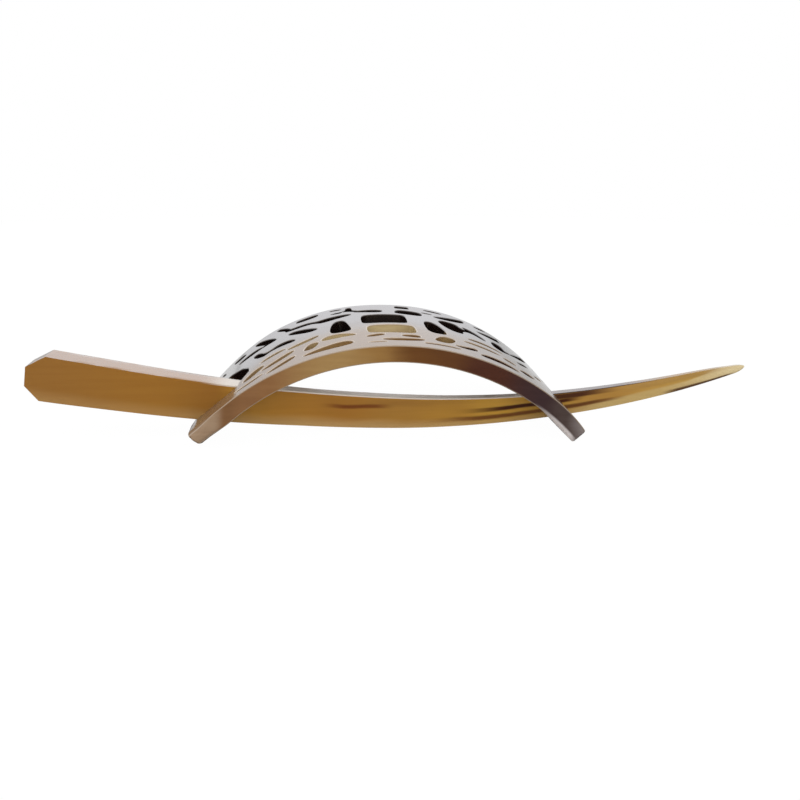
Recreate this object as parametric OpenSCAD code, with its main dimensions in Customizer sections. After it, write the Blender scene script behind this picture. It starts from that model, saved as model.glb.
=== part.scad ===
// Hair slide of polished horn: an arched, pierced plate that is held in a bun by a curved, tapering stick.
// Millimetres, +Z up. The slide stands on the two ends of its arch. The origin is on the surface below the
// middle of the whole slide: X runs along the stick, -Y is the front.

/* [Plate] */
// Outer radius of the arch
plate_radius = 62; // [61:0.5:63]
// Thickness of the horn
plate_thickness = 4; // [3.6:0.1:4.2]
// Width of the plate from front to back
plate_width = 55; // [54.5:0.5:58]
// Angle of each end of the arch from its top, in degrees
plate_half_angle = 49.1; // [49:0.1:50.5]
// Radius of the plate's two front corners, seen from above
corner_radius = 0.8; // [0.4:0.1:3]

/* [Stick] */
// Height of the stick's upper edge above the surface, below the top of the arch
stick_top_z = 8.1; // [8:0.1:8.4]
// Slope of the upper edge there, in degrees
stick_top_slope = -3.8; // [-4:0.1:-3.6]
// Height of the stick's lower edge there
stick_bottom_z = 0.76; // [0.7:0.02:1]
// Slope of the lower edge there, in degrees
stick_bottom_slope = -1.7; // [-1.8:0.1:-1.6]
// Distance from the stick's middle plane to the plate's front face
stick_inset = 13.75; // [13.5:0.25:14]
// Play between the stick and the plate
stick_play = 0.25; // [0.2:0.05:0.35]

/* [Slots] */
// Corner radius of the stick's two slots
slot_corner = 1.2; // [0.8:0.1:1.4]
// Middle of the right slot, along the arch from its top
right_slot_along = 47.3; // [47:0.1:47.6]
// Length of the right slot down the arch
right_slot_length = 5.4; // [5:0.1:6]
// Width of the right slot from front to back
right_slot_width = 4.3; // [4:0.1:5]

/* [Hidden] */
horn = [0.62, 0.42, 0.22];
dark_horn = [0.42, 0.27, 0.15];
// Facets of the arch and of the stick's long arcs
$fn = 720;
// Sides of a hole's outline
HOLE_SIDES = 16;
// How far a cutter stands past both faces of what it cuts
PAST = 3;

inner_radius = plate_radius - plate_thickness;
axis_z = -inner_radius * cos(plate_half_angle);
front_y = -plate_width / 2;
stick_y = front_y + stick_inset;

// Radii of the stick's edges, which turn a little tighter right of the arch's top than left of it:
// side, upper edge, lower edge
EDGE_RADII = [
    [-1, 490, 510],
    [1, 300, 265],
];
// The stick's ends in the side view, with their corners cut: along, height. The lines between the two
// ends lie clear of the stick.
END_OUTLINE = [
    [-85.6, 13.3],
    [-84.9, 17.9],
    [-60, 30],
    [60, 30],
    [90, 15.1],
    [90.2, 14.2],
    [89.2, 13.4],
    [60, -10],
    [-70, -6.2],
];
// The stick's depth from front to back: along, depth. It has a deep handle, a shoulder in the left slot and
// a slim point.
DEPTHS = [
    [-90, 7.6],
    [-60, 7.5],
    [-46, 6.9],
    [-40, 6.5],
    [-22, 3.9],
    [-10, 3.7],
    [10, 3.5],
    [30, 3],
    [60, 2.6],
    [92, 1.4],
];
// The whole slide is centred on the origin, from one end of the stick to the other
arch_x = -(min([for (p = END_OUTLINE) p.x]) + max([for (p = END_OUTLINE) p.x])) / 2;

// How far the back edge is trimmed, seen from above, from the left end to the right: distance from the
// arch's top, depth of the trim. It leaves the full width left of the top.
BACK_TRIM = [
    [-60, 16],
    [-46.9, 8.6],
    [-46.2, 7.6],
    [-43.5, 6],
    [-39.5, 4.3],
    [-35.5, 2.2],
    [-32, 0.7],
    [-28, -0.3],
    [-14, -0.3],
    [-9, 0.7],
    [-4, 1.6],
    [4, 1.6],
    [10, 1],
    [20, 0.4],
    [26, 0.4],
    [32, 1.2],
    [38, 2.6],
    [43, 4.4],
    [46.2, 5.8],
    [46.9, 6.8],
    [60, 14],
];

// The large slot that the handle's end of the stick enters, rounded at the back: along the arch from its
// top, across the plate from its front face
LEFT_SLOT = [
    [-50, 9.9],
    [-41, 9.9],
    [-38.5, 14],
    [-36.3, 19.5],
    [-36.8, 24],
    [-39, 28.5],
    [-43, 31.5],
    [-46.5, 30],
    [-50, 22],
];

// The holes, from the left end to the right (eight short ones join two neighbours):
// along the arch from its top, across from the front face, length, width, turn in degrees,
// taper (wider at its far end), bend (how far its middle bows), squareness (2 is an ellipse)
HOLES = [
    [-50.1, 43, 3.4, 1.6, 72, 0, 0, 2.4],
    [-49.6, 37, 4.6, 2.4, 62, 0, 0, 2.4],
    [-46.9, 41.5, 5, 1.2, -70, 0, 0, 2],
    [-41.5, 45.3, 4.2, 3.6, 20, 0, 0, 3],
    [-37.5, 39.1, 8, 3.8, 12, 0.1, 0.5, 2.4],
    [-35.2, 5.7, 8, 2, 10, 0, -0.6, 2.4],
    [-34.4, 12.8, 8, 3.8, 55, 0, 0, 2.4],
    [-33.8, 30.5, 8, 2.4, -67, 0, 0, 3],
    [-33.1, 44.4, 12.4, 3.6, -60, 0.1, 0.3, 2.6],
    [-32.4, 39.5, 3.4, 1.6, 8, 0, 0, 2.4],
    [-31.3, 28, 3.8, 1.6, 52, 0, 0, 2.4],
    [-29.4, 21, 7.4, 2.6, 15, 0, 0.5, 2.4],
    [-27.7, 13.2, 10.3, 3.1, 35, 0, -0.6, 2.4],
    [-27.7, 49.1, 8, 1.9, -62, 0.1, 0, 2.4],
    [-26.9, 28.2, 7.2, 4, -14, -0.1, 1.2, 2.4],
    [-26.6, 6.8, 9, 2.6, 37, 0.1, -0.5, 2.4],
    [-25.9, 44.7, 3.6, 1.6, 90, 0, 0, 2.4],
    [-22.2, 43, 7.8, 3, -12, 0, 0, 2.6],
    [-21.6, 35.3, 11, 3.6, -46, 0.15, 0, 2.6],
    [-21.2, 21.5, 9.2, 2.8, 25, -0.1, -0.6, 2.4],
    [-20.5, 51, 6.6, 3.6, 0, 0, -0.5, 3],
    [-18.9, 13.4, 6.6, 3.1, 76, 0, 0, 2.6],
    [-17.9, 41.1, 3.6, 1.6, -68, 0, 0, 2.4],
    [-14.8, 6.9, 12.6, 4.6, 13, 0.45, 0, 2.6],
    [-12.8, 41, 9.6, 4.2, 13, -0.4, 0, 2.8],
    [-12.3, 51.4, 3.4, 1.3, -15, 0, 0, 2.4],
    [-12, 16.4, 8.8, 4.4, -12, -0.4, 0.8, 2.4],
    [-12.1, 46.9, 3, 1.8, -10, 0, 0, 2.6],
    [-11.3, 28.1, 15, 4.9, 92, -0.3, 0.3, 3.2],
    [-10.2, 47.3, 2.8, 1.3, 15, 0, 0, 2.4],
    [-8.7, 49.1, 5.4, 1.8, 90, 0, 0, 3],
    [-7.4, 46.2, 3.4, 1.6, -42, 0, 0, 2.4],
    [-3.4, 44.2, 7.8, 3.2, -14, 0.3, 0, 2.8],
    [-3.1, 12.7, 4.8, 2.6, 25, 0.1, 0, 2.4],
    [-2.9, 5, 4.4, 1.1, -3, 0, 0, 2.4],
    [0.2, 33.1, 12, 11.6, 0, 0, 0, 6],
    [1.3, 20.2, 12.2, 10.2, 0, 0.05, 0, 5],
    [3.4, 8.3, 10.4, 3, 5, 0, -0.9, 2.4],
    [5.5, 11.9, 4.6, 3.1, 0, 0.2, 0, 2.6],
    [6.2, 49.8, 4, 3.2, 0, 0, 0, 5],
    [7.5, 42.9, 7.6, 5.8, -8, 0, 0, 3],
    [12.5, 5.2, 10.8, 1.6, 3, 0, 0.2, 2.6],
    [12.6, 26.5, 14.8, 4.8, 95, -0.25, -0.3, 2.8],
    [12.9, 45.9, 3, 1.2, 0, 0, 0, 2.4],
    [14.1, 13, 8.5, 4.4, 68, 0, 0, 2.6],
    [15.1, 50.8, 5.4, 1.8, 5, 0, 0, 2.4],
    [18.9, 34.3, 12.6, 5.8, 97, 0.25, 0.3, 3],
    [19, 10.1, 6.6, 2.8, 25, 0.1, -0.9, 2.4],
    [19.5, 47, 13, 3.6, 42, -0.1, -1.2, 2.4],
    [22.9, 35, 4, 2, 0, 0, 0, 2.4],
    [24.6, 17.9, 10.4, 2.6, 2, 0, 0, 2.6],
    [25.2, 35.4, 10, 2.8, -57, 0, 0.4, 2.4],
    [26.5, 23.3, 10.5, 2.8, 2, 0, 1, 2.4],
    [27.4, 6.4, 10.8, 4.6, 3, 0, 1, 2.4],
    [29.5, 50.6, 4.4, 2.4, 28, 0, 0, 2.6],
    [31.9, 15.7, 4, 3, -30, 0, 0, 2.4],
    [32.2, 32.7, 10.4, 4.2, 86, 0, 0, 2.6],
    [33.1, 46, 13.6, 4.4, 33, 0.1, -0.6, 2.4],
    [34.9, 30.9, 4.4, 1.8, 41, 0, 0, 2.4],
    [36.1, 11.2, 5.6, 4, 50, 0, 0, 2.6],
    [38.2, 26, 8.5, 2, 55, 0, 0, 2.4],
    [40.2, 39.4, 16.6, 3, 61, 0, -0.6, 2.4],
    [41.5, 19, 5, 2.2, 60, 0, 0, 2.4],
    [47.1, 40.5, 5, 2.6, 65, 0, 0, 2.4],
    [47.2, 29.6, 6, 2.4, 62, 0, 0, 2.4],
];

// A power of a number that keeps the number's sign
function signed_power(value, power) = sign(value) * pow(abs(value), power);

// A point of a hole's outline at a step round it, before it is turned
function hole_point(hole, angle) =
    let (
        u = signed_power(cos(angle), 2 / hole[7]),
        v = signed_power(sin(angle), 2 / hole[7])
    )
    [u * hole[2] / 2, v * hole[3] / 2 * (1 + hole[5] * u) + hole[6] * (1 - u * u)];

function hole_outline(hole) = [
    for (step = [0:HOLE_SIDES - 1]) hole_point(hole, 360 * step / HOLE_SIDES)
];

// Angle round the arch of a distance along its outside
function arch_angle(along) = along / plate_radius * 180 / PI;

// Puts a child's own origin on the arch's axis, with its +Z outward through a place on the plate
module at_plate(along, across) {
    translate([arch_x, front_y + across, axis_z])
        rotate([0, arch_angle(along), 0])
            children();
}

// Cuts straight through the plate at a place, in the form of the 2D child
module cut_through(along, across) {
    at_plate(along, across)
        translate([0, 0, inner_radius - PAST])
            linear_extrude(plate_thickness + 2 * PAST)
                children();
}

// The arch's section between its two radial ends
module arch_section() {
    reach = plate_radius * 1.6;
    end_x = reach * sin(plate_half_angle);
    end_z = reach * cos(plate_half_angle);
    intersection() {
        difference() {
            circle(plate_radius);
            circle(inner_radius);
        }
        polygon([[0, 0], [end_x, end_z], [0, reach * 1.2], [-end_x, end_z]]);
    }
}

module plain_arch() {
    translate([arch_x, plate_width / 2, axis_z])
        rotate([90, 0, 0])
            linear_extrude(plate_width)
                arch_section();
}

// What rounding takes off the two front corners of the plate
module corner_cutters() {
    end_along = plate_half_angle * PI / 180 * plate_radius;
    for (side = [-1, 1]) {
        cut_through(side * (end_along - corner_radius), 0)
            scale([side, 1])
                difference() {
                    translate([0, -PAST])
                        square([corner_radius + PAST, corner_radius + PAST]);
                    translate([0, corner_radius])
                        circle(corner_radius, $fn = 48);
                    translate([-1, corner_radius])
                        square([1, 1]);
                }
    }
}

// What is trimmed off the back edge
module back_cutter() {
    edge = [for (p = BACK_TRIM) [p.x, plate_width - p.y]];
    past = plate_width + 2 * PAST;
    translate([arch_x, front_y, -PAST])
        linear_extrude(plate_radius)
            polygon(concat(edge, [[60, past], [-60, past]]));
}

module hole_cutters() {
    for (hole = HOLES) {
        cut_through(hole[0], hole[1])
            rotate(hole[4])
                polygon(hole_outline(hole));
    }
}

// A 2D outline with its corners rounded
module rounded(radius) {
    offset(r = radius, $fn = 32)
        offset(delta = -radius)
            children();
}

module slot_cutters() {
    left_middle = [-43, 20];
    cut_through(left_middle.x, left_middle.y)
        rounded(slot_corner)
            polygon([for (p = LEFT_SLOT) p - left_middle]);
    cut_through(right_slot_along, stick_inset)
        rounded(slot_corner)
            square([right_slot_length, right_slot_width], center = true);
}

// Centre of one of the stick's edge arcs, which passes a height under the arch's top at a slope
function edge_centre(height, slope, radius) = [-sin(slope) * radius, height + cos(slope) * radius];

// Side view of the stick, grown by some play
module stick_side(play) {
    half = 100;
    intersection() {
        union() {
            for (edge = EDGE_RADII) {
                intersection() {
                    translate([min(0, edge[0] * half), -half / 4])
                        square([half, half]);
                    difference() {
                        translate(edge_centre(stick_bottom_z, stick_bottom_slope, edge[2]))
                            circle(edge[2] + play);
                        translate(edge_centre(stick_top_z, stick_top_slope, edge[1]))
                            circle(edge[1] - play);
                    }
                }
            }
        }
        polygon(END_OUTLINE);
    }
}

// Plan of the stick, grown by some play
module stick_plan(play) {
    front = [for (d = DEPTHS) [d[0], -d[1] / 2 - play]];
    back = [for (i = [len(DEPTHS) - 1:-1:0]) [DEPTHS[i][0], DEPTHS[i][1] / 2 + play]];
    polygon(concat(front, back));
}

module stick_body(play) {
    depth = 12;
    height = 40;
    translate([arch_x, stick_y, 0])
        intersection() {
            translate([0, depth / 2, 0])
                rotate([90, 0, 0])
                    linear_extrude(depth)
                        stick_side(play);
            translate([0, 0, -height / 4])
                linear_extrude(height)
                    stick_plan(play);
        }
}

// The arch, pierced by its holes and slots. The stick's own slanting path is cut wider than the stick.
module pierced_plate() {
    color(horn)
        difference() {
            plain_arch();
            corner_cutters();
            back_cutter();
            hole_cutters();
            slot_cutters();
            stick_body(stick_play);
        }
}

// The stick, which slides out to the left on a gentle arc
module hair_stick() {
    color(dark_horn)
        stick_body(0);
}

pierced_plate();
hair_stick();
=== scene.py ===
# %% [markdown]
# # A hair slide of polished horn
#
# The slide is an arched plate, sawn through with a web of long cells, and a curved stick that passes under
# the arch and holds it in a bun. Both are polished horn: honey and brown inside, with a gloss that mirrors
# the pale studio round it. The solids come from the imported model. This script gives them rounded edges,
# smooth outlines and the streaks of real horn.

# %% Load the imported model
import math

import bmesh
import bpy
from mathutils import Matrix, Vector


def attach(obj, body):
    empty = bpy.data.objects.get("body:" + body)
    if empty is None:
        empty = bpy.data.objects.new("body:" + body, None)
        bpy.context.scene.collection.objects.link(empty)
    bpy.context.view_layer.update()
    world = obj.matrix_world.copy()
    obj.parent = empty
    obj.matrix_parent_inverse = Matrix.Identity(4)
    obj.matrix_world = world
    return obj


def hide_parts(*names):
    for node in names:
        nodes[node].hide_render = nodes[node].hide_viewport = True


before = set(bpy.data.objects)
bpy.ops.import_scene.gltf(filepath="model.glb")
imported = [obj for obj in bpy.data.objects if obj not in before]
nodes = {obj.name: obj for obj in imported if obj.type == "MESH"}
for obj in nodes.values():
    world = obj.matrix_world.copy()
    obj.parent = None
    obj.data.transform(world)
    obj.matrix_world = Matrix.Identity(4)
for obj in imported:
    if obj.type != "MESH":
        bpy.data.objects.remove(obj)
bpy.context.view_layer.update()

# %% [markdown]
# ## Camera
#
# The photograph was taken from the front, a little above the slide and turned slightly to the right. A camera
# can be aimed with a constraint, or placed by its own three axes. The axes are used here, because they keep
# the small roll of the photograph as well.

# %% The camera
CAMERA_PLACE = (-0.017913, -0.238955, 0.070971)
CAMERA_RIGHT = (0.99671, -0.08093, 0.00433)
CAMERA_UP = (0.01783, 0.27108, 0.96239)

camera_data = bpy.data.cameras.new("camera")
camera_data.sensor_width = 36
camera_data.lens = 42.75
camera_data.clip_start = 0.01
camera = bpy.data.objects.new("camera", camera_data)
back = Vector(CAMERA_RIGHT).cross(Vector(CAMERA_UP))
turn = Matrix((CAMERA_RIGHT, CAMERA_UP, back)).transposed()
camera.matrix_world = Matrix.Translation(CAMERA_PLACE) @ turn.to_4x4()
bpy.context.scene.collection.objects.link(camera)
bpy.context.scene.camera = camera
print("camera tilt below the horizon:", round(math.degrees(math.asin(back.z)), 1), "degrees")

# %% [markdown]
# ## Measures
#
# The work is done in millimetres, where small steps such as a rounded edge are easy to read, and each
# finished mesh is scaled to metres at the end. These are the measures of the arch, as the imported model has
# them. The arch is a part of a hollow cylinder that lies along Y, so its axis is given by X and Z.

# %% Measures of the arch, in millimetres
MM = 0.001
OUTER_RADIUS = 62
THICKNESS = 4
HALF_ANGLE = math.radians(49.1)
ARCH_X = -2.3
AXIS_Z = -(OUTER_RADIUS - THICKNESS) * math.cos(HALF_ANGLE)
FRONT_Y = -27.5
STICK_Y = -13.75
print("length of the plate round its arch:", round(2 * HALF_ANGLE * OUTER_RADIUS, 1), "mm")

# %% [markdown]
# ## The pierced plate
#
# A maker draws the cells on a flat strip of horn, saws them out, rounds their edges with a file, and bends
# the warm strip over a former. The mesh is made in the same order. First the outline of the outer skin is
# taken from the CAD plate and unrolled flat.

# %% Unroll the outline of the plate's outer skin
MERGE_DIST = 0.001
SKIN_TOLERANCE = 0.02

outline = bmesh.new()
outline.from_mesh(nodes["pierced_plate"].data)
bmesh.ops.scale(outline, vec=(1 / MM, 1 / MM, 1 / MM), verts=outline.verts)
bmesh.ops.remove_doubles(outline, verts=outline.verts, dist=MERGE_DIST)


def on_outer_skin(vert):
    """Whether a point lies on the outer cylinder of the arch."""
    return abs(math.hypot(vert.co.x - ARCH_X, vert.co.z - AXIS_Z) - OUTER_RADIUS) < SKIN_TOLERANCE


inner_faces = [f for f in outline.faces if not all(on_outer_skin(v) for v in f.verts)]
bmesh.ops.delete(outline, geom=inner_faces, context="FACES")
for vert in outline.verts:
    angle = math.atan2(vert.co.x - ARCH_X, vert.co.z - AXIS_Z)
    vert.co = (angle * OUTER_RADIUS, vert.co.y, 0)
inside = [e for e in outline.edges if not e.is_boundary]
bmesh.ops.delete(outline, geom=inside, context="EDGES_FACES")
print("points round the outline, the slots and the holes:", len(outline.verts))

# %% [markdown]
# The CAD holes have 16 straight sides. Points that lie on a straight line are dissolved first, so that each
# outline has only its true corners.

# %% Dissolve the straight runs
CLOSE_POINTS = 0.03
STRAIGHT_TURN = math.radians(1.5)

bmesh.ops.remove_doubles(outline, verts=outline.verts, dist=CLOSE_POINTS)
bmesh.ops.dissolve_limit(outline, angle_limit=STRAIGHT_TURN, verts=outline.verts, edges=outline.edges)
loose = [v for v in outline.verts if not v.link_edges]
bmesh.ops.delete(outline, geom=loose, context="VERTS")
print("corners after dissolving straight runs:", len(outline.verts))

# %% [markdown]
# Each side is then halved and each point moved halfway to the mean of its neighbours. Two rounds of this
# draw a smooth curve through every outline, and a straight side stays straight. Where two cells run into each
# other, a thin sharp tongue of horn is left, and a maker would file it blunt. The sharp corners are found
# before the rounds, and after them the points near each one are smoothed many times more. A corner reaches
# one millimetre for each radian that it turns, so a sharper one reaches further.

# %% Smooth the outlines and blunt the sharp corners
SHARP_TURN = math.radians(62)
SMOOTH_ROUNDS = 2
BLUNT_REACH = 1.0
BLUNT_ROUNDS = 120

corner_turns = [(v.co.copy(), v.calc_edge_angle(0)) for v in outline.verts]
sharp_corners = [(place, turn * BLUNT_REACH) for place, turn in corner_turns if turn > SHARP_TURN]
for _ in range(SMOOTH_ROUNDS):
    bmesh.ops.subdivide_edges(outline, edges=outline.edges[:], cuts=1)
    bmesh.ops.smooth_vert(outline, verts=outline.verts, factor=0.5, use_axis_x=True, use_axis_y=True)
blunt = [v for v in outline.verts if any((v.co - place).length < reach for place, reach in sharp_corners)]
for _ in range(BLUNT_ROUNDS):
    bmesh.ops.smooth_vert(outline, verts=blunt, factor=0.5, use_axis_x=True, use_axis_y=True)
print("points on the smooth outlines:", len(outline.verts), "sharp corners blunted:", len(sharp_corners))

# %% [markdown]
# The flat outline is filled with triangles, and the seams between them are dissolved. A few broad faces with
# many sides are left, whose rims are the outlines.

# %% Fill the strip
SEAM_TURN = math.radians(1)

strip = outline
bmesh.ops.triangle_fill(strip, edges=strip.edges[:], use_beauty=True, normal=(0, 0, 1))
if sum(f.normal.z * f.calc_area() for f in strip.faces) < 0:
    bmesh.ops.reverse_faces(strip, faces=strip.faces)
seams = [e for e in strip.edges if not e.is_boundary]
bmesh.ops.dissolve_limit(strip, angle_limit=SEAM_TURN, verts=[], edges=seams)
bmesh.ops.delete(strip, geom=[v for v in strip.verts if not v.link_faces], context="VERTS")
strip_area = sum(f.calc_area() for f in strip.faces)
print("faces of the flat strip:", len(strip.faces), "area in mm2:", round(strip_area))

# %% [markdown]
# Horn is filed and polished, so no edge of it is sharp. A bevel on thousands of short edges can fold over
# itself in the narrow bridges. Insetting the whole region in steps that follow a quarter circle gives the
# same round edge, and keeps every bridge clean. An attribute of the points marks the rim, where the material
# paints a highlight. It fades down the rounding, and across a narrow halo of the skin. A second attribute
# will mark the walls.

# %% Round the edges of the skin
RIM_RADIUS = 0.22
RIM_STEPS = 3
RIM_HIGHLIGHT_HALO = 0.14

rim_highlight_layer = strip.verts.layers.float.new("rim")
wall_layer = strip.verts.layers.float.new("wall")
cap = strip.faces[:]
bmesh.ops.translate(strip, vec=(0, 0, -RIM_RADIUS), verts=strip.verts)
rim_angles = [math.pi / 2 * step / RIM_STEPS for step in range(RIM_STEPS + 1)]
for low, high in zip(rim_angles, rim_angles[1:]):
    width = RIM_RADIUS * (math.cos(low) - math.cos(high))
    rise = RIM_RADIUS * (math.sin(high) - math.sin(low))
    bmesh.ops.inset_region(strip, faces=cap, use_boundary=True, use_even_offset=True, thickness=width)
    bmesh.ops.translate(strip, vec=(0, 0, rise), verts=list({v for f in cap for v in f.verts}))
bmesh.ops.inset_region(strip, faces=cap, use_boundary=True, use_even_offset=True, thickness=RIM_HIGHLIGHT_HALO)
inner_points = {v for f in cap for v in f.verts}
for vert in strip.verts:
    vert[rim_highlight_layer] = 0 if vert in inner_points else 1 - (vert.co.z / RIM_RADIUS) ** 2
heights = [round(v.co.z, 3) for v in strip.verts]
print("faces with the rounded rim:", len(strip.faces), "heights:", min(heights), "to", max(heights))

# %% [markdown]
# A plate can only bend where it has points, so the strip is cut across every millimetre, and more closely at
# its two ends, which are rounded later. Near both ends, a few cuts beside the front edge make room for the
# rounded corners of its two toes.

# %% Cut the strip where it bends
BEND_STEP = 1.0
END_ROUND = 0.8
END_CUTS = (0.98, 0.8, 0.6, 0.45)
TOE_START = -44
INNER_TOE_START = 40.5
TOE_CUTS = (0.35, 0.7, 1.1, 1.5, 1.9)
STRIP_CUT_DIST = 0.02


def cut_across(bm, place, normal, dist, faces=None):
    """Cuts a mesh, or only some faces of it, along a plane. Points nearer than dist count as on the plane."""
    parts = bm.verts[:] + bm.edges[:] + bm.faces[:]
    if faces is not None:
        parts = list(dict.fromkeys(part for f in faces for part in (f, *f.edges, *f.verts)))
    bmesh.ops.bisect_plane(bm, geom=parts, dist=dist, plane_co=place, plane_no=normal)


end_along = HALF_ANGLE * OUTER_RADIUS
cuts = int(end_along / BEND_STEP)
places = [step * BEND_STEP for step in range(-cuts, cuts + 1)]
places += [side * (end_along - END_ROUND * part) for side in (-1, 1) for part in END_CUTS]
for along in places:
    cut_across(strip, (along, 0, 0), (1, 0, 0), STRIP_CUT_DIST)
for depth in TOE_CUTS:
    toe_faces = [f for f in strip.faces if not TOE_START < f.calc_center_median().x < INNER_TOE_START]
    cut_across(strip, (0, FRONT_Y + depth, 0), (0, 1, 0), STRIP_CUT_DIST, toe_faces)
print("cuts across the strip:", len(places), "faces:", len(strip.faces))

# %% [markdown]
# The walls are drawn down to the middle of the thickness, in steps that leave points for the rounded
# corners. Points that the insets moved a hair past the plate's ends and edges are put back on them.

# %% Draw the walls down
WALL_DROPS = (0.06, 0.32, 0.4, 0.4)

last_drop = THICKNESS / 2 - RIM_RADIUS - sum(WALL_DROPS)
for drop in (*WALL_DROPS, last_drop):
    border = [e for e in strip.edges if e.is_boundary]
    walls = bmesh.ops.extrude_edge_only(strip, edges=border)
    wall_verts = [g for g in walls["geom"] if isinstance(g, bmesh.types.BMVert)]
    bmesh.ops.translate(strip, vec=(0, 0, -drop), verts=wall_verts)
    for vert in wall_verts:
        vert[rim_highlight_layer] = 0
        vert[wall_layer] = 1
bmesh.ops.translate(strip, vec=(0, 0, THICKNESS / 2), verts=strip.verts)
for vert in strip.verts:
    vert.co.x = max(-end_along, min(end_along, vert.co.x))
    vert.co.y = max(FRONT_Y, min(-FRONT_Y, vert.co.y))
print("faces of the half plate:", len(strip.faces), "last drop of the walls:", round(last_drop, 2), "mm")

# %% [markdown]
# At the left toe the outer corner of the front edge is filed round, and the rounding grows over the last
# millimetres. The corner is square so far. Each point of it is moved from a square about the rounding's
# centre onto a circle.

# %% Round the left toe
TOE_ROUND = 1.9
TOE_TAPER = 6


def part_way(value, start, end):
    """How far a value has come from start to end, from 0 to 1."""
    return min(1, max(0, (value - start) / (end - start)))


def round_front_corner(vert, radius, top, side):
    """Moves a point of the front's square corner onto its rounding, on the outer (1) or inner (-1) side."""
    inward = FRONT_Y + radius - vert.co.y
    outward = side * vert.co.z - top + radius
    if min(inward, outward) > 0:
        shrink = max(inward, outward) / math.hypot(inward, outward)
        vert.co.y = FRONT_Y + radius - inward * shrink
        vert.co.z = side * (top - radius + outward * shrink)


for vert in strip.verts:
    toe_radius = TOE_ROUND * part_way(vert.co.x, TOE_START, TOE_START - TOE_TAPER)
    round_front_corner(vert, toe_radius, THICKNESS / 2, 1)
toe_points = sum(vert.co.x < TOE_START for vert in strip.verts)
print("points of the left toe:", toe_points)

# %% [markdown]
# So far there is only the outer half of the thickness. The inner half is its mirror image, and the two are
# welded where their walls meet. With it the left toe gets a round inner corner as well.

# %% Mirror the half plate
bmesh.ops.mirror(
    strip,
    geom=strip.verts[:] + strip.edges[:] + strip.faces[:],
    matrix=Matrix.Identity(4),
    merge_dist=MERGE_DIST,
    axis="Z",
)
print("faces of the whole flat plate:", len(strip.faces))

# %% [markdown]
# The right toe is rounded on its inner side, where the horn also swells a little. From the front this shows
# as a pale crescent inside the leg, and the material adds a painted reflection there as well.

# %% Swell and round the right toe
INNER_TOE_ROUND = 1.7
INNER_TOE_SWELL = 0.6

swollen = 0
for vert in strip.verts:
    swell = math.sin(math.pi * part_way(vert.co.x, INNER_TOE_START, end_along))
    if swell > 0 and vert.co.z < 0:
        vert.co.z *= 1 + INNER_TOE_SWELL * swell / (THICKNESS / 2)
        bottom = THICKNESS / 2 + INNER_TOE_SWELL * swell
        round_front_corner(vert, INNER_TOE_ROUND * swell, bottom, -1)
        swollen += 1
print("points of the right toe's inner side:", swollen)

# %% [markdown]
# The flat plate is rolled round the former: the distance along it becomes an angle, and its height becomes a
# radius. Its ends close in a rounding. At the front, the left toe leaves the circle on a straight line, and
# the right toe curls in a little more than the circle.

# %% Roll the plate round the former
STRAIGHT_FROM = math.radians(-38.5)
STRAIGHT_FRONT, STRAIGHT_BACK = -18, -6
CURL_FROM = math.radians(39)
CURL = 0.55

for vert in strip.verts:
    height = vert.co.z
    past = 1 - (end_along - abs(vert.co.x)) / END_ROUND
    if past > 0:
        height *= 1 - END_ROUND * (1 - math.sqrt(max(0, 1 - past * past))) / (THICKNESS / 2)
    radius = OUTER_RADIUS - THICKNESS / 2 + height
    angle = vert.co.x / OUTER_RADIUS
    if angle < STRAIGHT_FROM:
        front = part_way(vert.co.y, STRAIGHT_BACK, STRAIGHT_FRONT)
        radius += front * OUTER_RADIUS * (1 / math.cos(angle - STRAIGHT_FROM) - 1)
    radius -= CURL * part_way(angle, CURL_FROM, HALF_ANGLE) ** 2
    vert.co = (ARCH_X + radius * math.sin(angle), vert.co.y, AXIS_Z + radius * math.cos(angle))
bmesh.ops.recalc_face_normals(strip, faces=strip.faces)
open_edges = [e for e in strip.edges if len(e.link_faces) != 2]
print("faces:", len(strip.faces), "edges that aren't closed:", len(open_edges))
print("volume of the plate in mm3:", round(strip.calc_volume(signed=True)))

# %% [markdown]
# The mesh becomes a piece: it is scaled to metres, rides on a body of the model, and stands for the CAD
# solid, which is hidden.

# %% Make the plate a piece


def finished_object(name, bm, body):
    """Makes an object of a bmesh in millimetres, and says which body it rides on."""
    bmesh.ops.scale(bm, vec=(MM, MM, MM), verts=bm.verts)
    mesh = bpy.data.meshes.new(name)
    bm.to_mesh(mesh)
    bm.free()
    piece = bpy.data.objects.new(name, mesh)
    bpy.context.scene.collection.objects.link(piece)
    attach(piece, body)
    return piece


plate = finished_object("pierced_plate_horn", strip, "plate")
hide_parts("pierced_plate")
print("piece:", plate.name, len(plate.data.vertices), "points")

# %% [markdown]
# ## The stick
#
# The stick is a long bar whose upper and lower edges are gentle arcs that turn a little tighter right of the
# arch. They swell a few tenths of a millimetre at the handle and before the point, as hand-cut horn does. The
# bar has a deep handle at the left and a slim point at the right. It starts as a plain bar with bevelled
# edges, is cut into rings, and each ring is moved to its place. An edge is given by its height at the arch's
# middle, its slope there in degrees, and the radii of its arcs to the left and right. The other lists give a
# value at stations along the stick.

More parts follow.
